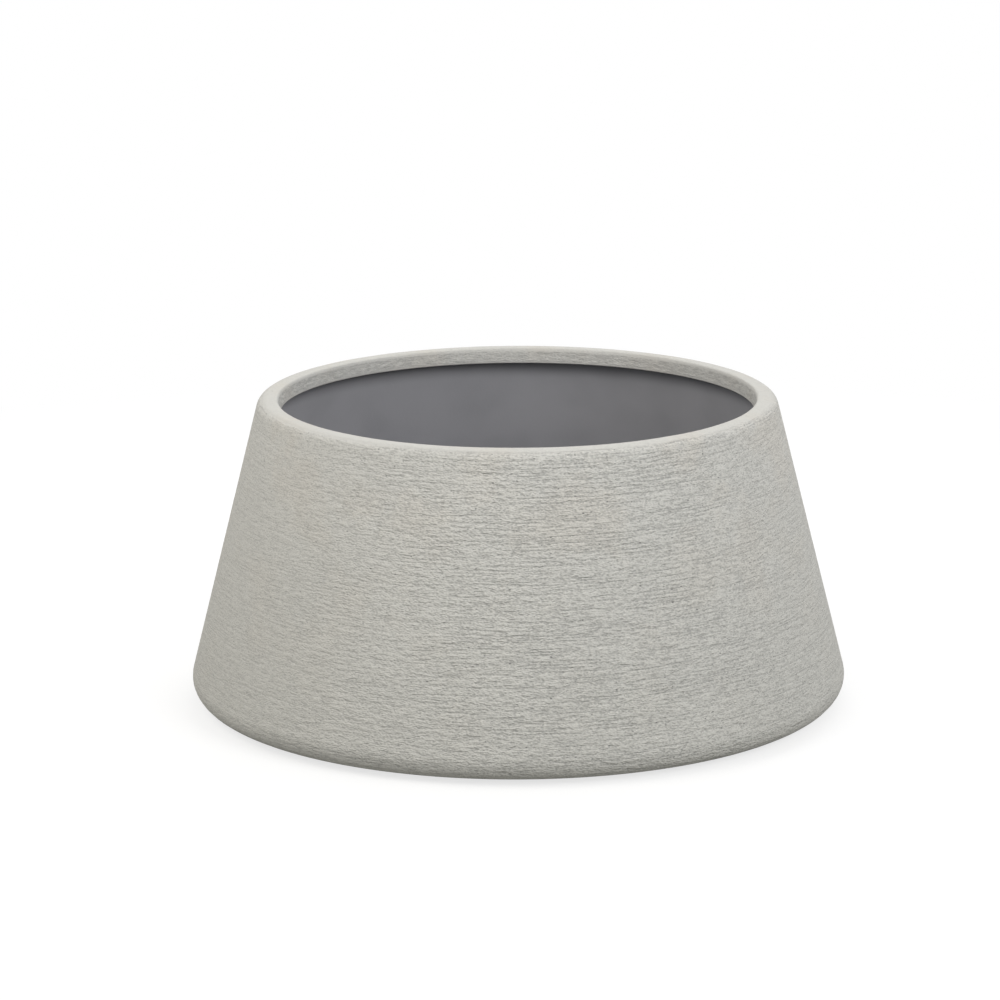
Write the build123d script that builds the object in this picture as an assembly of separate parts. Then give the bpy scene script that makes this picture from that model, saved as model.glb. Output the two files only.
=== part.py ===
from build123d import *
from math import atan, cos, radians, sin
import os

# Low round planter of fibre cement, narrower at the mouth than at the base.
# All sizes in millimetres. Z is the planter's axis, and z = 0 is the ground under the foot pads.

# Outer form
HEIGHT = 280.0
FOOT_HEIGHT = 4.0
BASE_RADIUS = 305.4
TOP_RADIUS = 235.2
BASE_CORNER = 18.7
RIM_CORNER = 9.8

# Lip that turns down into the mouth
LIP_TOP_RADIUS = 217.6
LIP_BOTTOM_RADIUS = 215.2
LIP_DEPTH = 14.6
LIP_TOP_CORNER = 2.6
LIP_BOTTOM_CORNER = 1.4

# Thicknesses, measured square to the wall and to the floor
SKIN = 4.5
LINING = 9.0
BASE_SKIN = 5.0
LINING_FLOOR = 10.0
UNDER_LIP_CORNER = 3.0
FLOOR_COVE = 24.0

# Drain holes and their rubber plugs
DRAIN_COUNT = 3
DRAIN_CIRCLE_RADIUS = 130.0
DRAIN_START_ANGLE = 90.0
DRAIN_HOLE_RADIUS = 12.5
PLUG_CLEARANCE = 0.3
PLUG_RIB = 0.8
PLUG_RIB_COUNT = 2
PLUG_FLANGE_RADIUS = 18.0
PLUG_FLANGE_THICKNESS = 3.5
PLUG_FLANGE_ROUND = 1.4
PLUG_LEAD_IN = 2.0
PLUG_TIP_GAP = 0.5
GRIP_WAIST_RADIUS = 4.5
GRIP_HEAD_RADIUS = 7.5
GRIP_HEAD_ROUND = 2.2
GRIP_WAIST_HEIGHT = 5.0
GRIP_HEAD_HEIGHT = 5.5

# Foot pads in their seats under the base
PAD_COUNT = 6
PAD_CIRCLE_RADIUS = 240.0
PAD_RADIUS = 20.0
PAD_SEAT_DEPTH = 1.5
PAD_SEAT_GAP = 0.5
PAD_EDGE_ROUND = 1.2

# Levels and slopes that follow from the sizes above
UNDERSIDE = FOOT_HEIGHT
LIP_UNDER = HEIGHT - LIP_DEPTH
SKIN_FLOOR = UNDERSIDE + BASE_SKIN
FLOOR_TOP = SKIN_FLOOR + LINING_FLOOR
TAPER = (BASE_RADIUS - TOP_RADIUS) / (HEIGHT - UNDERSIDE)
LEAN = atan(TAPER)


def wall_radius(height, depth=0.0):
    """Radius at a height of the cone that lies a depth inside the wall's outer face."""
    return BASE_RADIUS - (height - UNDERSIDE) * TAPER - depth / cos(LEAN)


def turned(corners):
    """Solid turned about Z from half a section, given as corners of radius, height and rounding."""
    points = [(radius, height) for radius, height, rounding in corners]
    roundings = [rounding for radius, height, rounding in corners]
    with BuildPart() as body:
        with BuildSketch(Plane.XZ):
            with BuildLine():
                FilletPolyline(*points, radius=roundings, close=True)
            make_face()
        revolve(axis=Axis.Z)
    return body.part


def around(count, circle_radius, start_angle=0.0):
    """Centres of evenly spaced features on a circle about the planter's axis."""
    angles = [radians(start_angle + 360.0 * i / count) for i in range(count)]
    return [(circle_radius * cos(a), circle_radius * sin(a)) for a in angles]


def upright_cylinders(centres, radius, low, high):
    """Cylinders with upright axes between two levels."""
    return [
        Pos(x, y, low) * Cylinder(radius, high - low, align=(Align.CENTER, Align.CENTER, Align.MIN))
        for x, y in centres
    ]


def outer_shell(drain_centres, pad_centres):
    """Pale face of wall, rim, lip and base, with drain holes and a seat for each foot pad."""
    shell = turned([
        (0.0, UNDERSIDE, 0.0),
        (BASE_RADIUS, UNDERSIDE, BASE_CORNER),
        (TOP_RADIUS, HEIGHT, RIM_CORNER),
        (LIP_TOP_RADIUS, HEIGHT, LIP_TOP_CORNER),
        (LIP_BOTTOM_RADIUS, LIP_UNDER, LIP_BOTTOM_CORNER),
        (wall_radius(LIP_UNDER, SKIN), LIP_UNDER, UNDER_LIP_CORNER),
        (wall_radius(SKIN_FLOOR, SKIN), SKIN_FLOOR, BASE_CORNER - SKIN),
        (0.0, SKIN_FLOOR, 0.0),
    ])
    holes = upright_cylinders(drain_centres, DRAIN_HOLE_RADIUS, 0.0, FLOOR_TOP)
    seats = upright_cylinders(pad_centres, PAD_RADIUS + PAD_SEAT_GAP, 0.0, UNDERSIDE + PAD_SEAT_DEPTH)
    return shell - holes - seats


def inner_lining(drain_centres):
    """Dark backing inside the face, from the lip's underside to the coved floor."""
    lining = turned([
        (0.0, SKIN_FLOOR, 0.0),
        (wall_radius(SKIN_FLOOR, SKIN), SKIN_FLOOR, BASE_CORNER - SKIN),
        (wall_radius(LIP_UNDER, SKIN), LIP_UNDER, UNDER_LIP_CORNER),
        (wall_radius(LIP_UNDER, SKIN + LINING), LIP_UNDER, 0.0),
        (wall_radius(FLOOR_TOP, SKIN + LINING), FLOOR_TOP, FLOOR_COVE),
        (0.0, FLOOR_TOP, 0.0),
    ])
    return lining - upright_cylinders(drain_centres, DRAIN_HOLE_RADIUS, 0.0, HEIGHT)


def drain_plug():
    """Rubber bung on the planter's axis: ribbed stem, flange on the floor and a waisted grip."""
    tip = UNDERSIDE + PLUG_TIP_GAP
    flange_top = FLOOR_TOP + PLUG_FLANGE_THICKNESS
    waist_top = flange_top + GRIP_WAIST_HEIGHT
    grip_top = waist_top + GRIP_HEAD_HEIGHT
    rib_radius = DRAIN_HOLE_RADIUS - PLUG_CLEARANCE
    stem_radius = rib_radius - PLUG_RIB
    rib_pitch = (FLOOR_TOP - tip) / (PLUG_RIB_COUNT + 1)
    ribs = []
    for i in range(PLUG_RIB_COUNT):
        crest = tip + (i + 1) * rib_pitch
        ribs += [(stem_radius, crest - PLUG_RIB, 0.0), (rib_radius, crest, 0.0), (stem_radius, crest + PLUG_RIB, 0.0)]
    return turned([
        (0.0, tip, 0.0),
        (stem_radius - PLUG_LEAD_IN, tip, 0.0),
        (stem_radius, tip + PLUG_LEAD_IN, 0.0),
        *ribs,
        (stem_radius, FLOOR_TOP, 0.0),
        (PLUG_FLANGE_RADIUS, FLOOR_TOP, 0.0),
        (PLUG_FLANGE_RADIUS, flange_top, PLUG_FLANGE_ROUND),
        (GRIP_WAIST_RADIUS, flange_top, 0.0),
        (GRIP_WAIST_RADIUS, waist_top, 0.0),
        (GRIP_HEAD_RADIUS, waist_top, 0.0),
        (GRIP_HEAD_RADIUS, grip_top, GRIP_HEAD_ROUND),
        (0.0, grip_top, 0.0),
    ])


def foot_pad():
    """Rubber disc on the planter's axis, rounded at its lower edge."""
    top = UNDERSIDE + PAD_SEAT_DEPTH
    return turned([
        (0.0, 0.0, 0.0),
        (PAD_RADIUS, 0.0, PAD_EDGE_ROUND),
        (PAD_RADIUS, top, 0.0),
        (0.0, top, 0.0),
    ])


def main():
    drain_centres = around(DRAIN_COUNT, DRAIN_CIRCLE_RADIUS, DRAIN_START_ANGLE)
    pad_centres = around(PAD_COUNT, PAD_CIRCLE_RADIUS)
    pieces = {
        "outer_shell": outer_shell(drain_centres, pad_centres),
        "inner_lining": inner_lining(drain_centres),
    }
    plug = drain_plug()
    for number, (x, y) in enumerate(drain_centres, start=1):
        pieces[f"drain_plug_{number}"] = Pos(x, y, 0) * plug
    pad = foot_pad()
    for number, (x, y) in enumerate(pad_centres, start=1):
        pieces[f"foot_pad_{number}"] = Pos(x, y, 0) * pad

    os.makedirs("parts", exist_ok=True)
    for name, piece in pieces.items():
        export_step(piece, f"parts/{name}.step")


main()
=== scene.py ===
import math

import bpy
import numpy as np
from mathutils import Matrix, Vector
from mathutils.geometry import delaunay_2d_cdt


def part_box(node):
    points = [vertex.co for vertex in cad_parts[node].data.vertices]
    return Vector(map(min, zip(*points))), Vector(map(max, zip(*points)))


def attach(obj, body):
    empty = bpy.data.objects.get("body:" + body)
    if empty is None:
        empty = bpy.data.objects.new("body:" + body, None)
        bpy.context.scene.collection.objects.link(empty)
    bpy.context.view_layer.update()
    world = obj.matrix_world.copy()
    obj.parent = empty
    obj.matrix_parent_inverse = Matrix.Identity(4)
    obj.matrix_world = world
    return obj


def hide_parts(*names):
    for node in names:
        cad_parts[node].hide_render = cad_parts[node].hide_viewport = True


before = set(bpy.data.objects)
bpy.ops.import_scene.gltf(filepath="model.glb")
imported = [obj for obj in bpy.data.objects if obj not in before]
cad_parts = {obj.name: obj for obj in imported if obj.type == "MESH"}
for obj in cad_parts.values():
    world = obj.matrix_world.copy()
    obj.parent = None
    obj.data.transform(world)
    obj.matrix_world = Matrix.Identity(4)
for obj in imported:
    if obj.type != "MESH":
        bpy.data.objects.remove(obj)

bl_info = {
    "name": "Combed Tapered Planter",
    "version": (1, 0, 0),
    "blender": (4, 5, 0),
    "location": "View3D > Sidebar > Planter",
    "description": "Builds a low tapered fibre cement planter with a combed face and a dark lining",
    "category": "Add Mesh",
}

MM = 0.001
TURN = 2 * math.pi

# The frame gives the planter's outer sizes, the drain holes' places and the pads' places.
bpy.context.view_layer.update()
SHELL_LOW, SHELL_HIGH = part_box("outer_shell")
LINING_LOW, LINING_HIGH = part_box("inner_lining")
PLUGS = ("drain_plug_1", "drain_plug_2", "drain_plug_3")
PADS = ("foot_pad_1", "foot_pad_2", "foot_pad_3", "foot_pad_4", "foot_pad_5", "foot_pad_6")
UNDERSIDE = SHELL_LOW.z
RIM_TOP = SHELL_HIGH.z
LIP_UNDER = LINING_HIGH.z
SKIN_FLOOR = LINING_LOW.z

# Half section of the planter, as on its drawing.
BASE_RADIUS = 305.4 * MM
TOP_RADIUS = 235.2 * MM
BASE_CORNER = 18.7 * MM
RIM_CORNER = 9.8 * MM
LIP_TOP_RADIUS = 217.6 * MM
LIP_BOTTOM_RADIUS = 215.2 * MM
LIP_TOP_CORNER = 2.6 * MM
LIP_BOTTOM_CORNER = 1.4 * MM
UNDER_LIP_CORNER = 3.0 * MM
SKIN = 4.5 * MM
LINING = 9.0 * MM
LINING_FLOOR = 10.0 * MM
FLOOR_COVE = 24.0 * MM
DRAIN_HOLE_RADIUS = 12.5 * MM
HOLE_CHAMFER = 0.8 * MM
PAD_SEAT_RADIUS = 20.5 * MM
PAD_SEAT_DEPTH = 1.5 * MM
FLOOR_TOP = SKIN_FLOOR + LINING_FLOOR
TAPER = (BASE_RADIUS - TOP_RADIUS) / (RIM_TOP - UNDERSIDE)
HOLE_STEPS = 48

# How many times longer than high the comb draws its streaks, and grains and pits.
STREAK_STRETCH = 3.8
GRAIN_STRETCH = 2.0

# Full heights of the face's fine relief in millimetres.
SMOOTH_GRAIN_HEIGHT = 0.2
COMBED_GRAIN_HEIGHT = 1.3
STREAK_HEIGHT = 2.3
PIT_DEPTH = 0.3

# Shares of the dirt and painted shade in a pit and where no comb went, and of the painted shade on the
# lip's face.
PIT_SHADE = 0.7
EVEN_SHADE = 0.21
LIP_PAINTED_SHADE = 0.56

# Height of the band of painted shadow on the coating under the lip.
PAINTED_SHADOW_BAND = 18.0 * MM

# Row length of noise that starts anew on each mesh row.
EACH_ROW = 0.01

# Softboxes of the studio: name, place, size, power in watts and tint.
SOFTBOXES = (
    ("right_front_softbox", (2.2, -2.4, 2.0), (1.8, 1.6), 45.0, "FFFFFF"),
    ("left_front_softbox", (-2.2, -2.4, 2.0), (1.8, 1.6), 8.0, "FFFFFF"),
    ("left_softbox", (-1.6, -0.8, 1.9), (1.6, 1.6), 19.0, "FFFAF0"),
    ("right_softbox", (1.6, -0.8, 1.9), (1.6, 1.6), 3.5, "FFFFFF"),
    ("back_softbox", (0.6, 2.3, 2.0), (2.4, 1.6), 35.0, "FFFFFF"),
)
SOFTBOX_TARGET = (0.0, 0.0, 0.14)

# Strength of the white surroundings for the rays that light things.
WORLD_LIGHT = 0.54

# Sockets of the Mix node, whose names repeat, for colours and for numbers.
MIX_FACTOR = 0
COLOUR_A, COLOUR_B, COLOUR_RESULT = 6, 7, 2
NUMBER_A, NUMBER_B, NUMBER_RESULT = 2, 3, 0


def linear(code):
    """Linear RGBA of an sRGB hex colour."""
    channels = [int(code[i:i + 2], 16) / 255 for i in (0, 2, 4)]
    return [c / 12.92 if c <= 0.04045 else ((c + 0.055) / 1.055) ** 2.4 for c in channels] + [1.0]


def per_metre(size_mm):
    """Texture scale that makes a pattern's features about this many millimetres wide."""
    return 1000.0 / size_mm


def colour(name, description, code):
    return bpy.props.FloatVectorProperty(
        name=name, description=description, subtype="COLOR", size=4, min=0.0, max=1.0, default=linear(code)
    )


def length(name, description, millimetres):
    return bpy.props.FloatProperty(
        name=name, description=description, default=millimetres * MM, min=0.0, unit="LENGTH", precision=5
    )


def whole(name, description, value, least=0):
    return bpy.props.IntProperty(name=name, description=description, default=value, min=least)


class FaceSettings(bpy.types.PropertyGroup):
    comb_pitch: length("Comb pitch", "Mean distance between comb marks, measured up the wall", 3.0)
    groove_width: length("Groove width", "Width of one comb mark", 1.2)
    groove_depth: length("Groove depth", "Depth of the deepest comb marks", 0.36)
    wander: length("Wander", "How far the comb drifts up and down along its way", 1.3)
    smooth_rim: length("Smooth rim band", "Uncombed band below the rim's top, measured down the wall", 5.5)
    columns: whole("Columns", "Mesh columns round the wall", 276, 60)
    seed: whole("Seed", "Seed of the comb marks", 7)
    pale: colour("Pale cement", "Main colour of the face", "DEDDD8")
    sandy: colour("Sandy cement", "Warmer patches of the face", "DFD9CF")
    # Painted shade: the wall greys towards its foot.
    low: colour("Painted foot shade", "Slightly greyer colour at the foot of the wall", "D3D2CC")
    # Dirt and painted shade in the face's marks, pits and hollows take this colour.
    shade: colour("Dirt and painted shade", "Colour of dirt and painted shade in comb marks and pits", "868684")


class LiningSettings(bpy.types.PropertyGroup):
    unevenness: length("Unevenness", "How far the hand-laid backing swells", 0.35)
    columns: whole("Columns", "Mesh columns round the lining", 192, 48)
    seed: whole("Seed", "Seed of the lining's swells", 11)
    grey: colour("Lining grey", "Main colour of the coating", "A9A9AD")
    cloud: colour("Lining cloud", "Second grey of the coating's soft clouds", "A2A2A6")
    # Painted shadow on the coating just under the lip.
    edge: colour("Lining shadow", "Painted shadow at the edge of the coating, just under the lip", "5A5A5C")


class RubberSettings(bpy.types.PropertyGroup):
    black: colour("Rubber black", "Main colour of the moulded rubber", "2A2A2B")
    bloom: colour("Rubber bloom", "Greyish bloom on the rubber", "3E3E3F")


class StudioSettings(bpy.types.PropertyGroup):
    distance: length("Camera distance", "Level distance from the planter's axis", 3462.7)
    height: length("Camera height", "Height of the camera above the ground", 1011.3)
    pitch: bpy.props.FloatProperty(
        name="Pitch", description="How far the camera looks down", subtype="ANGLE", default=0.2352
    )
    roll: bpy.props.FloatProperty(name="Roll", description="Camera roll", subtype="ANGLE", default=-0.0038)
    lens: bpy.props.FloatProperty(name="Lens", description="Focal length in millimetres", default=140.11)
    shift: bpy.props.FloatProperty(name="Shift", description="Sideways lens shift", default=-0.0178)
    floor: colour("Floor", "Colour of the studio floor where it lights the planter", "ADADAA")


def add_node(tree, kind, settings=None, inputs=None):
    """Adds a node. settings are its properties, inputs are values or sockets by input name or number."""
    node = tree.nodes.new(kind)
    for name, value in (settings or {}).items():
        setattr(node, name, value)
    for name, value in (inputs or {}).items():
        if isinstance(value, bpy.types.NodeSocket):
            tree.links.new(value, node.inputs[name])
        else:
            node.inputs[name].default_value = value
    return node


def noise(tree, place, size_mm, detail, roughness=0.5):
    """Noise whose features are about this many millimetres wide."""
    return add_node(tree, "ShaderNodeTexNoise", {}, {
        "Vector": place, "Scale": per_metre(size_mm), "Detail": detail, "Roughness": roughness,
    }).outputs["Fac"]


def ramp(tree, value, low, high, start=0.0, end=1.0, smooth=False):
    """Goes from start to end while the value goes from low to high."""
    easing = "SMOOTHSTEP" if smooth else "LINEAR"
    return add_node(tree, "ShaderNodeMapRange", {"interpolation_type": easing}, {
        "Value": value, "From Min": low, "From Max": high, "To Min": start, "To Max": end,
    }).outputs[0]


def calculate(tree, operation, *values, clamp=False):
    """Result of a math operation on numbers or sockets."""
    settings = {"operation": operation, "use_clamp": clamp}
    return add_node(tree, "ShaderNodeMath", settings, dict(enumerate(values))).outputs[0]


def mix_colours(tree, share, first, second):
    return add_node(tree, "ShaderNodeMix", {"data_type": "RGBA"}, {
        MIX_FACTOR: share, COLOUR_A: first, COLOUR_B: second,
    }).outputs[COLOUR_RESULT]


def mix_numbers(tree, share, first, second):
    return add_node(tree, "ShaderNodeMix", {"data_type": "FLOAT"}, {
        MIX_FACTOR: share, NUMBER_A: first, NUMBER_B: second,
    }).outputs[NUMBER_RESULT]


def stretched(tree, place, times):
    """Place for a pattern whose features are this many times longer than they are high."""
    return add_node(tree, "ShaderNodeMapping", {}, {"Vector": place, "Scale": (1.0, 1.0, times)}).outputs[0]


def height_of(tree, place):
    return add_node(tree, "ShaderNodeSeparateXYZ", {}, {0: place}).outputs["Z"]


def point_value(tree, name):
    """Value that the mesh holds at its points under this name."""
    return add_node(tree, "ShaderNodeAttribute", {"attribute_name": name}).outputs["Fac"]


def bumped(tree, relief, strength, distance):
    """Normal of a surface with this relief."""
    return add_node(tree, "ShaderNodeBump", {}, {
        "Height": relief, "Strength": strength, "Distance": distance,
    }).outputs[0]


def new_material(name):
    """An empty material, its node tree and the socket that gives the place on the object."""
    material = bpy.data.materials.new(name)
    material.use_nodes = True
    tree = material.node_tree
    tree.nodes.clear()
    place = add_node(tree, "ShaderNodeTexCoord").outputs["Object"]
    return material, tree, place


def surface(tree, inputs):
    """Ends a material's nodes in a Principled surface with these inputs."""
    principled = add_node(tree, "ShaderNodeBsdfPrincipled", {}, inputs)
    add_node(tree, "ShaderNodeOutputMaterial", {}, {"Surface": principled.outputs[0]})


def combed_fibre_cement(settings):
    """Fibre cement, cast and combed while green: matt, sandy, with pits where grains were dragged out."""
    material, tree, place = new_material("combed_fibre_cement")
    groove_and_lip_shade = point_value(tree, "groove_and_lip_shade")
    combed = point_value(tree, "combed")
    # The comb drags grains sideways, so marks are longer than they are high, streaks the most.
    dragged = stretched(tree, place, STREAK_STRETCH)
    rubbed = stretched(tree, place, GRAIN_STRETCH)

    # Faint warm clouds, and painted shade that greys the wall towards its foot.
    clouds = ramp(tree, noise(tree, place, 70, 3.0, 0.55), 0.46, 0.66, 0.0, 0.4, smooth=True)
    base = mix_colours(tree, clouds, settings.pale, settings.sandy)
    foot_painted_shade = ramp(tree, height_of(tree, place), UNDERSIDE, RIM_TOP, 1.0, 0.0)
    base = mix_colours(tree, foot_painted_shade, base, settings.low)

    grain = noise(tree, rubbed, 2.3, 0.5)
    streak = noise(tree, dragged, 9.0, 2.0)
    # Pits up to 2 mm long and 1 mm high, in half of the cells of a 7 mm grid.
    cells = add_node(tree, "ShaderNodeTexVoronoi", {}, {"Vector": rubbed, "Scale": per_metre(7.0)})
    chance = add_node(tree, "ShaderNodeSeparateColor", {}, {"Color": cells.outputs["Color"]}).outputs[0]
    pit_edge = ramp(tree, chance, 0.5, 1.0, 0.0, 0.16)
    pit = calculate(tree, "LESS_THAN", cells.outputs["Distance"], pit_edge)

    # Dirt and painted shade darken the comb marks, which the drag breaks up, the pits and the hollows
    # between grains.
    in_marks = calculate(tree, "MULTIPLY", groove_and_lip_shade, ramp(tree, streak, 0.35, 0.62, 0.05, 0.62))
    in_hollows = ramp(tree, mix_numbers(tree, 0.5, grain, streak), 0.36, 0.55, 0.46, 0.0)
    in_spots = calculate(tree, "MULTIPLY_ADD", pit, PIT_SHADE, in_hollows)
    # Where no comb went the dirt and painted shade are thin and even.
    dirt_and_painted_shade = mix_numbers(tree, combed, EVEN_SHADE, in_spots)
    dirt_and_painted_shade = calculate(tree, "ADD", dirt_and_painted_shade, in_marks, clamp=True)
    face = mix_colours(tree, dirt_and_painted_shade, base, settings.shade)

    grain_height = ramp(tree, combed, 0.0, 1.0, SMOOTH_GRAIN_HEIGHT, COMBED_GRAIN_HEIGHT)
    relief = calculate(tree, "MULTIPLY", grain, grain_height)
    combed_streak = calculate(tree, "MULTIPLY", streak, combed)
    relief = calculate(tree, "MULTIPLY_ADD", combed_streak, STREAK_HEIGHT, relief)
    relief = calculate(tree, "MULTIPLY_ADD", pit, -PIT_DEPTH, relief)
    surface(tree, {
        "Base Color": face, "Roughness": 0.92, "IOR": 1.5, "Specular IOR Level": 0.25,
        "Normal": bumped(tree, relief, 0.9, MM),
    })
    return material


def coated_backing(settings):
    """Glass-fibre backing under a rolled grey sealing coat: dull, with faint clouds and roller stipple."""
    material, tree, place = new_material("coated_backing")
    clouds = ramp(tree, noise(tree, place, 60, 2.0), 0.35, 0.65, smooth=True)
    coat = mix_colours(tree, clouds, settings.grey, settings.cloud)
    # Painted shadow darkens the coating's top band, under the lip.
    painted_lip_shadow = ramp(tree, height_of(tree, place), LIP_UNDER - PAINTED_SHADOW_BAND, LIP_UNDER, 0.0, 0.8, smooth=True)
    coat = mix_colours(tree, painted_lip_shadow, coat, settings.edge)
    stipple = noise(tree, place, 2.5, 2.0)
    surface(tree, {
        "Base Color": coat, "Roughness": 0.7, "IOR": 1.5, "Specular IOR Level": 0.4,
        "Normal": bumped(tree, stipple, 0.25, 0.4 * MM),
    })
    return material


def moulded_rubber(settings, name, grain_mm):
    """Black rubber from a spark-finished mould: fine even grain, with a greyish bloom."""
    material, tree, place = new_material(name)
    bloom = ramp(tree, noise(tree, place, 12, 3.0, 0.6), 0.4, 0.7, 0.0, 0.7, smooth=True)
    rubber = mix_colours(tree, bloom, settings.black, settings.bloom)
    grain = noise(tree, place, grain_mm, 1.0)
    surface(tree, {
        "Base Color": rubber, "Roughness": 0.62, "IOR": 1.52,
        "Normal": bumped(tree, grain, 0.4, 0.2 * MM),
    })
    return material


def wall_radius(height, depth=0.0):
    """Radius at a height of the cone that lies a depth inside the wall's outer face."""
    return BASE_RADIUS - (height - UNDERSIDE) * TAPER - depth * math.sqrt(1 + TAPER * TAPER)


class Outline:
    """Half section made of straight runs and round corners, measured by its length from its first point."""

    ARC_POINTS = 40

    def __init__(self, corners):
        points = [np.array(corners[0][:2])]
        bounds = []
        for before, corner, after in zip(corners, corners[1:], corners[2:]):
            arc = self._arc(np.array(before[:2]), np.array(corner[:2]), np.array(after[:2]), corner[2])
            bounds.append((len(points), len(points) + len(arc) - 1))
            points.extend(arc)
        points.append(np.array(corners[-1][:2]))
        self.points = np.array(points)
        steps = np.linalg.norm(np.diff(self.points, axis=0), axis=1)
        self.lengths = np.concatenate([[0.0], np.cumsum(steps)])
        # Where each corner's round starts and ends.
        self.corners = [(self.lengths[a], self.lengths[b]) for a, b in bounds]
        tangents = np.gradient(self.points, axis=0)
        tangents /= np.linalg.norm(tangents, axis=1)[:, None]
        self.normals = np.column_stack([tangents[:, 1], -tangents[:, 0]])

    def _arc(self, before, corner, after, rounding):
        """Points of a round corner, from one tangent point to the other."""
        if rounding <= 0:
            return [corner]
        back = (before - corner) / np.linalg.norm(before - corner)
        ahead = (after - corner) / np.linalg.norm(after - corner)
        half = math.acos(float(np.clip(back @ ahead, -1, 1))) / 2
        bisector = (back + ahead) / np.linalg.norm(back + ahead)
        centre = corner + bisector * rounding / math.sin(half)
        start = corner + back * rounding / math.tan(half) - centre
        end = corner + ahead * rounding / math.tan(half) - centre
        sweep = math.acos(float(np.clip(start @ end / rounding ** 2, -1, 1)))
        shares = np.linspace(0, 1, self.ARC_POINTS)
        return [
            centre + (start * math.sin((1 - t) * sweep) + end * math.sin(t * sweep)) / math.sin(sweep)
            for t in shares
        ]

    def at(self, s):
        """Radius, height and outward normal at lengths s, an array of any shape."""
        radius = np.interp(s, self.lengths, self.points[:, 0])
        height = np.interp(s, self.lengths, self.points[:, 1])
        normal_r = np.interp(s, self.lengths, self.normals[:, 0])
        normal_z = np.interp(s, self.lengths, self.normals[:, 1])
        return radius, height, normal_r, normal_z


def soft_noise(rng, rows, columns, row_length, column_length):
    """Smooth random field with unit spread that closes on itself round its columns; lengths in cells."""
    pad = int(4 * row_length) + 1
    field = rng.standard_normal((rows + pad, columns))
    row_wave = np.fft.fftfreq(rows + pad)[:, None]
    column_wave = np.fft.fftfreq(columns)[None, :]
    along_rows = 2 * (math.pi * row_wave * row_length) ** 2
    along_columns = 2 * (math.pi * column_wave * column_length) ** 2
    keep = np.exp(-along_rows - along_columns)
    field = np.real(np.fft.ifft2(np.fft.fft2(field) * keep))[:rows]
    return (field - field.mean()) / field.std()


def smooth_step(low, high, value):
    t = np.clip((value - low) / (high - low), 0, 1)
    return t * t * (3 - 2 * t)


class TurnedMesh:
    """Collects rings of points round the Z axis, and flat discs with holes, into one closed mesh."""

    def __init__(self, columns):
        self.columns = columns
        self.angles = np.arange(columns) * TURN / columns
        self.vertices = []
        self.faces = []
        self.count = 0

    def _add(self, points):
        start = self.count
        self.vertices.append(points)
        self.count += len(points)
        return start

    def rings(self, radius, height):
        """Quads between rings, one for each row of radius and height. Returns the first and last ring."""
        rows = radius.shape[0]
        x = radius * np.cos(self.angles)
        y = radius * np.sin(self.angles)
        start = self._add(np.stack([x, y, height], axis=-1).reshape(-1, 3))
        here = np.arange(self.columns)
        ahead = (here + 1) % self.columns
        for row in range(rows - 1):
            low = start + row * self.columns
            high = low + self.columns
            quads = np.column_stack([low + here, low + ahead, high + ahead, high + here])
            self.faces.extend(quads.tolist())
        first = start + here
        last = start + (rows - 1) * self.columns + here
        return first, last

    def circle(self, centre, radius, height):
        """A loop of points for a hole, returned as vertex numbers."""
        angles = np.arange(HOLE_STEPS) * TURN / HOLE_STEPS
        x = centre[0] + radius * np.cos(angles)
        y = centre[1] + radius * np.sin(angles)
        return self._add(np.column_stack([x, y, np.full(HOLE_STEPS, height)])) + np.arange(HOLE_STEPS)

    def band(self, low, high):
        """Quads between two hole loops, facing into the hole."""
        for a, b, c, d in zip(low, high, np.roll(high, -1), np.roll(low, -1)):
            self.faces.append([a, b, c, d])

    def disc(self, edge, holes, upward):
        """Flat face inside an edge loop, with holes left open."""
        points = np.concatenate(self.vertices)
        loops = [list(edge)] + [list(hole) for hole in holes]
        numbers = [n for loop in loops for n in loop]
        flat = [Vector(points[n][:2]) for n in numbers]
        edges = []
        start = 0
        for loop in loops:
            edges += [(start + i, start + (i + 1) % len(loop)) for i in range(len(loop))]
            start += len(loop)
        # All triangles inside the edge loop; points nearer than a tenth of a micron count as one.
        whole_area, nearness = 0, 1e-7
        _, _, faces, source, _, _ = delaunay_2d_cdt(flat, edges, [], whole_area, nearness)
        centres = [points[list(hole)].mean(axis=0)[:2] for hole in holes]
        sizes = [np.linalg.norm(points[hole[0]][:2] - centre) for hole, centre in zip(holes, centres)]
        for face in faces:
            corners = [numbers[source[i][0]] for i in face]
            middle = points[corners].mean(axis=0)[:2]
            if any(np.linalg.norm(middle - centre) < size for centre, size in zip(centres, sizes)):
                continue
            self.faces.append(corners if upward else corners[::-1])

    def build(self, name, material, attributes=None):
        """The object, smooth-shaded, with named values on its points."""
        mesh = bpy.data.meshes.new(name)
        points = np.concatenate(self.vertices)
        mesh.from_pydata(points.tolist(), [], self.faces)
        for key, values in (attributes or {}).items():
            layer = mesh.attributes.new(key, "FLOAT", "POINT")
            full = np.zeros(len(points))
            full[:len(values)] = values
            layer.data.foreach_set("value", full)
        mesh.polygons.foreach_set("use_smooth", [True] * len(mesh.polygons))
        mesh.materials.append(material)
        mesh.update()
        made = bpy.data.objects.new(name, mesh)
        bpy.context.scene.collection.objects.link(made)
        return made


def middle_of(node):
    low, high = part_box(node)
    return ((low.x + high.x) / 2, (low.y + high.y) / 2)


def comb_pressure(angles):
    """How hard the comb was pressed round the wall: hardest at the front and the back."""
    def lobe(middle, width):
        away = (angles - math.radians(middle) + math.pi) % TURN - math.pi
        return np.exp(-(away / math.radians(width)) ** 2)
    lightest, front, back = 0.45, 0.65, 0.5
    return lightest + front * lobe(288, 52) + back * lobe(95, 60)


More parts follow.
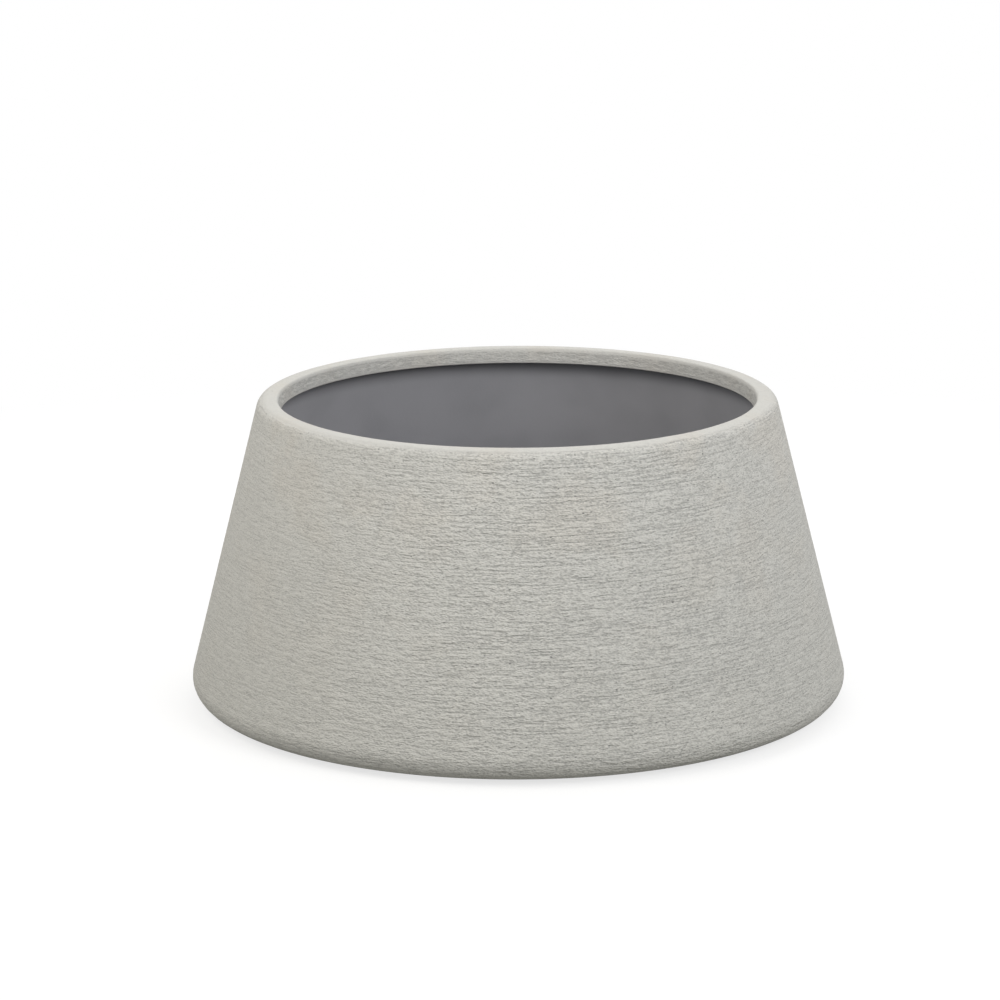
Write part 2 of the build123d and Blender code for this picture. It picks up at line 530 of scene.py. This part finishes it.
def combed_rows(settings, rng, start, end):
    """Lengths, depths and groove shares of the mesh rows in the combed part of the wall."""
    columns = settings.columns
    pressure = comb_pressure(np.arange(columns) * TURN / columns)
    # Comb marks are 0.7 to 1.4 of the mean pitch apart.
    gaps = []
    while sum(gaps) < end - start:
        gaps.append(settings.comb_pitch * rng.uniform(0.7, 1.4))
    centres = start + (np.cumsum(gaps) - gaps[0] / 2) * (end - start) / sum(gaps)
    count = len(centres)
    column_mm = TURN * (BASE_RADIUS + TOP_RADIUS) / 2 / columns / MM

    def change(marks, reach_mm):
        """Noise with features this many marks high and this many millimetres long."""
        return soft_noise(rng, count, columns, marks, reach_mm / column_mm)

    # The comb drifts up and down, but not at the ends of the combed part, and its teeth waver.
    drift = change(7.0, 60.0)
    waver = change(0.6, 9.0)
    room = min(settings.comb_pitch, settings.wander)
    to_end = np.minimum(centres - start, end - centres)
    fade = np.minimum(1.0, to_end / (4 * settings.comb_pitch))[:, None]
    middle = centres[:, None] + fade * (settings.wander * 0.5 * drift) + room * 0.28 * waver
    # Each mark comes and goes along the wall, and whole patches stay grainy with few marks.
    own = change(EACH_ROW, 11.0)
    patch = change(5.0, 32.0)
    strength = smooth_step(-0.9, 1.2, own + 0.3 * patch)
    chatter = 1 + 0.25 * change(EACH_ROW, 4.0)
    share = np.clip(strength * chatter, 0, 1) * pressure

    # A mark is three rows of the mesh: its bottom between two shoulders, all a little grainy.
    half = settings.groove_width / 2 * (0.75 + 0.5 * share)
    grain = 0.05 * MM
    shoulder = 0.06 * MM
    lower = shoulder + grain * np.abs(soft_noise(rng, count, columns, EACH_ROW, 0.6))
    bottom = share * settings.groove_depth + grain
    upper = shoulder + grain * np.abs(soft_noise(rng, count, columns, EACH_ROW, 0.6))
    bare = np.zeros_like(share)

    def rows(*kinds):
        """Mesh rows that go through these kinds in turn, mark after mark."""
        return np.stack(kinds, axis=1).reshape(-1, columns)

    lengths = rows(middle - half, middle, middle + half)
    # Rows never cross, however far the comb drifts.
    least = 0.12 * MM
    for row in range(1, len(lengths)):
        lengths[row] = np.maximum(lengths[row], lengths[row - 1] + least)
    return lengths, rows(lower, bottom, upper), rows(bare, share, bare)


def shell_rows(settings, outline):
    """Lengths, depths, groove shares and roughness of the mesh rows all round the shell's section."""
    rng = np.random.default_rng(settings.seed)
    columns = settings.columns
    base, rim, lip_top, lip_bottom, under_lip, inner_base = outline.corners
    # The comb started nearly half way up the round of the base corner.
    comb_start = base[0] + (base[1] - base[0]) * 0.45
    comb_end = rim[1] - settings.smooth_rim
    combed, combed_depth, combed_share = combed_rows(settings, rng, comb_start, comb_end)
    before = np.linspace(base[0], comb_start, 7)[:-1]
    # Start and end of each run above the combed wall, and its number of rows with both ends.
    runs = (
        (comb_end, rim[1], 7),
        (rim[1], lip_top[0], 6),
        (lip_top[0], lip_top[1], 6),
        (lip_top[1], lip_bottom[0], 9),
        (lip_bottom[0], lip_bottom[1], 5),
        (lip_bottom[1], under_lip[0], 3),
        (under_lip[0], under_lip[1], 4),
        (under_lip[1], inner_base[0], 4),
        (inner_base[0], inner_base[1], 5),
    )
    after = np.concatenate([np.linspace(start, end, count)[1:] for start, end, count in runs])
    widen = np.ones((1, columns))
    uncombed = np.zeros((len(before), columns))
    lengths = np.concatenate([before[:, None] * widen, combed, after[:, None] * widen])
    # Painted shade darkens the lip's inner face, which holds no comb marks.
    on_lip = ((after > lip_top[1]) & (after < lip_bottom[0]))[:, None]
    shares = np.concatenate([uncombed, combed_share, np.where(on_lip, LIP_PAINTED_SHADE, 0.0) * widen])
    # Hand-finished smooth parts dip a little; hidden inner faces stay true so that the lining fits.
    shown = (after < lip_bottom[0])[:, None]
    dip = 0.12 * MM * np.abs(soft_noise(rng, len(after), columns, 1.5, 5.0)) * shown
    depths = np.concatenate([uncombed, combed_depth, dip])
    # Roughness is half at the base corner, full on the combed wall, less on the lip and the rim.
    roughness = comb_pressure(np.arange(columns) * TURN / columns) * np.concatenate([
        np.full(uncombed.shape, 0.5),
        np.ones(combed.shape),
        np.where(on_lip, 0.45, 0.2) * widen,
    ])
    return lengths, depths, shares, roughness


def close_shell(ring, underside_edge, floor_edge):
    """Underside and inner base of the shell, with chamfered drain holes and the pads' seats."""
    plug_places = [middle_of(n) for n in PLUGS]
    pad_places = [middle_of(n) for n in PADS]
    floor_holes = [ring.circle(p, DRAIN_HOLE_RADIUS, SKIN_FLOOR) for p in plug_places]
    under_holes = [ring.circle(p, DRAIN_HOLE_RADIUS + HOLE_CHAMFER, UNDERSIDE) for p in plug_places]
    chamfers = [ring.circle(p, DRAIN_HOLE_RADIUS, UNDERSIDE + HOLE_CHAMFER) for p in plug_places]
    seat_edges = [ring.circle(p, PAD_SEAT_RADIUS, UNDERSIDE) for p in pad_places]
    seat_tops = [ring.circle(p, PAD_SEAT_RADIUS, UNDERSIDE + PAD_SEAT_DEPTH) for p in pad_places]
    for under, chamfer, top in zip(under_holes, chamfers, floor_holes):
        ring.band(under, chamfer)
        ring.band(chamfer, top)
    for edge, top in zip(seat_edges, seat_tops):
        ring.band(edge, top)
        ring.disc(top, [], upward=False)
    ring.disc(underside_edge, under_holes + seat_edges, upward=False)
    ring.disc(floor_edge, floor_holes, upward=True)


class PLANTER_OT_combed_shell(bpy.types.Operator):
    """Build the pale fibre cement shell with its combed wall, smooth rim and lip"""

    bl_idname = "planter.combed_shell"
    bl_label = "Combed Shell"

    def execute(self, context):
        settings = context.scene.planter_face
        outline = Outline([
            (0.0, UNDERSIDE, 0.0),
            (BASE_RADIUS, UNDERSIDE, BASE_CORNER),
            (TOP_RADIUS, RIM_TOP, RIM_CORNER),
            (LIP_TOP_RADIUS, RIM_TOP, LIP_TOP_CORNER),
            (LIP_BOTTOM_RADIUS, LIP_UNDER, LIP_BOTTOM_CORNER),
            (wall_radius(LIP_UNDER, SKIN), LIP_UNDER, UNDER_LIP_CORNER),
            (wall_radius(SKIN_FLOOR, SKIN), SKIN_FLOOR, BASE_CORNER - SKIN),
            (0.0, SKIN_FLOOR, 0.0),
        ])
        lengths, depths, shares, roughness = shell_rows(settings, outline)
        radius, height, normal_r, normal_z = outline.at(lengths)
        ring = TurnedMesh(settings.columns)
        underside_edge, floor_edge = ring.rings(radius - normal_r * depths, height - normal_z * depths)
        close_shell(ring, underside_edge, floor_edge)
        shell = ring.build("combed_shell", combed_fibre_cement(settings), {
            "groove_and_lip_shade": shares.ravel(), "combed": roughness.ravel(),
        })
        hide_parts("outer_shell")
        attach(shell, "planter")
        return {"FINISHED"}


class PLANTER_OT_dark_lining(bpy.types.Operator):
    """Build the dark grey lining behind the lip, with its coved floor"""

    bl_idname = "planter.dark_lining"
    bl_label = "Dark Lining"

    def execute(self, context):
        settings = context.scene.planter_lining
        rng = np.random.default_rng(settings.seed)
        outline = Outline([
            (0.0, SKIN_FLOOR, 0.0),
            (wall_radius(SKIN_FLOOR, SKIN), SKIN_FLOOR, BASE_CORNER - SKIN),
            (wall_radius(LIP_UNDER, SKIN), LIP_UNDER, UNDER_LIP_CORNER),
            (wall_radius(LIP_UNDER, SKIN + LINING), LIP_UNDER, 0.0),
            (wall_radius(FLOOR_TOP, SKIN + LINING), FLOOR_TOP, FLOOR_COVE),
            (0.0, FLOOR_TOP, 0.0),
        ])
        outer_base, outer_top, top_edge, cove = outline.corners
        # Rows close beside the upper edge keep it crisp under smooth shading.
        beside = 0.3 * MM
        hidden = np.concatenate([
            np.linspace(outer_base[0], outer_base[1], 5),
            np.linspace(outer_base[1], outer_top[0], 4)[1:],
            np.linspace(outer_top[0], outer_top[1], 4)[1:],
            [top_edge[0] - beside, top_edge[0]],
        ])
        shown = np.concatenate([
            [top_edge[1] + beside],
            np.linspace(top_edge[1] + beside, cove[0], 29)[1:],
            np.linspace(cove[0], cove[1], 10)[1:],
        ])
        columns = settings.columns
        swell = settings.unevenness * soft_noise(rng, len(shown), columns, 4.0, 8.0)
        # The swells die out over the first and the last rows, where the lining meets lip and floor.
        row = np.arange(len(shown))
        for from_end in (row, row[::-1]):
            swell *= smooth_step(0, 6, from_end)[:, None]
        widen = np.ones((1, columns))
        lengths = np.concatenate([hidden, shown])[:, None] * widen
        depths = np.concatenate([np.zeros((len(hidden), columns)), swell])
        radius, height, normal_r, normal_z = outline.at(lengths)
        ring = TurnedMesh(columns)
        low_edge, floor_edge = ring.rings(radius - normal_r * depths, height - normal_z * depths)
        places = [middle_of(n) for n in PLUGS]
        low_holes = [ring.circle(p, DRAIN_HOLE_RADIUS, SKIN_FLOOR) for p in places]
        top_holes = [ring.circle(p, DRAIN_HOLE_RADIUS, FLOOR_TOP) for p in places]
        for low, high in zip(low_holes, top_holes):
            ring.band(low, high)
        ring.disc(low_edge, low_holes, upward=False)
        ring.disc(floor_edge, top_holes, upward=True)
        lining = ring.build("dark_lining", coated_backing(settings))
        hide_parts("inner_lining")
        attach(lining, "planter")
        return {"FINISHED"}


def finish_nodes(nodes, material):
    """Gives CAD pieces their real finish."""
    for name in nodes:
        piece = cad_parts[name]
        piece.data.materials.clear()
        piece.data.materials.append(material)


class PLANTER_OT_drain_plugs(bpy.types.Operator):
    """Finish the rubber drain plugs in the floor"""

    bl_idname = "planter.drain_plugs"
    bl_label = "Drain Plugs"

    def execute(self, context):
        finish_nodes(PLUGS, moulded_rubber(context.scene.planter_rubber, "plug_rubber", 0.6))
        return {"FINISHED"}


class PLANTER_OT_foot_pads(bpy.types.Operator):
    """Finish the rubber foot pads under the base"""

    bl_idname = "planter.foot_pads"
    bl_label = "Foot Pads"

    def execute(self, context):
        finish_nodes(PADS, moulded_rubber(context.scene.planter_rubber, "pad_rubber", 0.9))
        return {"FINISHED"}


def to_the_eye(tree):
    """1 for camera, mirror and glass rays, 0 for the rays that light things."""
    path = add_node(tree, "ShaderNodeLightPath").outputs
    seen = calculate(tree, "ADD", path["Is Camera Ray"], path["Is Glossy Ray"])
    return calculate(tree, "ADD", seen, path["Is Transmission Ray"], clamp=True)


def studio_floor_material(settings):
    """Painted floor: white to the eye but for the planter's shadow, grey where it lights the planter."""
    material, tree, place = new_material("studio_floor")
    distance = add_node(tree, "ShaderNodeVectorMath", {"operation": "LENGTH"}, {0: place}).outputs["Value"]
    # Beyond the reach of the shadow, 0.7 to 1.4 m out, the floor is plain white paper.
    far = ramp(tree, distance, 0.7, 1.4)
    painted = add_node(tree, "ShaderNodeBsdfDiffuse", {}, {"Color": settings.floor}).outputs[0]
    glow = add_node(tree, "ShaderNodeEmission", {}, {"Strength": 0.72}).outputs[0]
    shaded = add_node(tree, "ShaderNodeBsdfDiffuse", {}, {"Color": (0.34, 0.34, 0.34, 1.0)}).outputs[0]
    near_paper = add_node(tree, "ShaderNodeAddShader", {}, {0: glow, 1: shaded}).outputs[0]
    far_paper = add_node(tree, "ShaderNodeEmission", {}, {"Strength": 1.0}).outputs[0]
    paper = add_node(tree, "ShaderNodeMixShader", {}, {0: far, 1: near_paper, 2: far_paper}).outputs[0]
    floor = add_node(tree, "ShaderNodeMixShader", {}, {0: to_the_eye(tree), 1: painted, 2: paper})
    add_node(tree, "ShaderNodeOutputMaterial", {}, {"Surface": floor.outputs[0]})
    return material


def softbox(name, place, size, power, tint):
    """A rectangular area lamp aimed at the planter's middle."""
    lamp = bpy.data.lights.new(name, "AREA")
    lamp.shape = "RECTANGLE"
    lamp.size, lamp.size_y = size
    lamp.energy = power
    lamp.color = linear(tint)[:3]
    holder = bpy.data.objects.new(name, lamp)
    holder.location = place
    holder.rotation_mode = "QUATERNION"
    holder.rotation_quaternion = (Vector(SOFTBOX_TARGET) - Vector(place)).to_track_quat("-Z", "Y")
    bpy.context.scene.collection.objects.link(holder)


class PLANTER_OT_studio(bpy.types.Operator):
    """Set up the floor, the soft light and the camera"""

    bl_idname = "planter.studio"
    bl_label = "Studio"

    def execute(self, context):
        settings = context.scene.planter_studio
        scene = context.scene
        scene.view_settings.view_transform = "Standard"

        half = 20.0
        corners = [(-half, -half, 0), (half, -half, 0), (half, half, 0), (-half, half, 0)]
        mesh = bpy.data.meshes.new("studio_floor")
        mesh.from_pydata(corners, [], [(0, 1, 2, 3)])
        mesh.materials.append(studio_floor_material(settings))
        floor = bpy.data.objects.new("studio_floor", mesh)
        scene.collection.objects.link(floor)

        world = bpy.data.worlds.new("studio")
        world.use_nodes = True
        tree = world.node_tree
        tree.nodes.clear()
        strength = ramp(tree, to_the_eye(tree), 0.0, 1.0, WORLD_LIGHT, 1.0)
        background = add_node(tree, "ShaderNodeBackground", {}, {"Strength": strength}).outputs[0]
        add_node(tree, "ShaderNodeOutputWorld", {}, {"Surface": background})
        scene.world = world

        for lamp in SOFTBOXES:
            softbox(*lamp)

        camera = bpy.data.cameras.new("camera")
        camera.lens = settings.lens
        camera.sensor_width = 36.0
        camera.shift_x = settings.shift
        holder = bpy.data.objects.new("camera", camera)
        holder.matrix_world = (
            Matrix.Translation((0.0, -settings.distance, settings.height))
            @ Matrix.Rotation(math.pi / 2 - settings.pitch, 4, "X")
            @ Matrix.Rotation(settings.roll, 4, "Z")
        )
        scene.collection.objects.link(holder)
        scene.camera = holder
        return {"FINISHED"}


class PLANTER_PT_sidebar(bpy.types.Panel):
    """Lists the planter's steps and settings"""

    bl_label = "Planter"
    bl_idname = "PLANTER_PT_sidebar"
    bl_space_type = "VIEW_3D"
    bl_region_type = "UI"
    bl_category = "Planter"

    def draw(self, context):
        groups = (
            ("planter_face", FaceSettings, PLANTER_OT_combed_shell),
            ("planter_lining", LiningSettings, PLANTER_OT_dark_lining),
            ("planter_rubber", RubberSettings, PLANTER_OT_drain_plugs),
            ("planter_studio", StudioSettings, PLANTER_OT_studio),
        )
        for key, group, operator in groups:
            box = self.layout.box()
            for name in group.__annotations__:
                box.prop(getattr(context.scene, key), name)
            box.operator(operator.bl_idname)
        self.layout.operator(PLANTER_OT_foot_pads.bl_idname)


CLASSES = (
    FaceSettings,
    LiningSettings,
    RubberSettings,
    StudioSettings,
    PLANTER_OT_combed_shell,
    PLANTER_OT_dark_lining,
    PLANTER_OT_drain_plugs,
    PLANTER_OT_foot_pads,
    PLANTER_OT_studio,
    PLANTER_PT_sidebar,
)


def register():
    for item in CLASSES:
        bpy.utils.register_class(item)
    bpy.types.Scene.planter_face = bpy.props.PointerProperty(type=FaceSettings)
    bpy.types.Scene.planter_lining = bpy.props.PointerProperty(type=LiningSettings)
    bpy.types.Scene.planter_rubber = bpy.props.PointerProperty(type=RubberSettings)
    bpy.types.Scene.planter_studio = bpy.props.PointerProperty(type=StudioSettings)


def unregister():
    del bpy.types.Scene.planter_studio
    del bpy.types.Scene.planter_rubber
    del bpy.types.Scene.planter_lining
    del bpy.types.Scene.planter_face
    for item in reversed(CLASSES):
        bpy.utils.unregister_class(item)


def main():
    register()
    bpy.ops.planter.combed_shell()
    bpy.ops.planter.dark_lining()
    bpy.ops.planter.drain_plugs()
    bpy.ops.planter.foot_pads()
    bpy.ops.planter.studio()


if __name__ == "__main__":
    main()
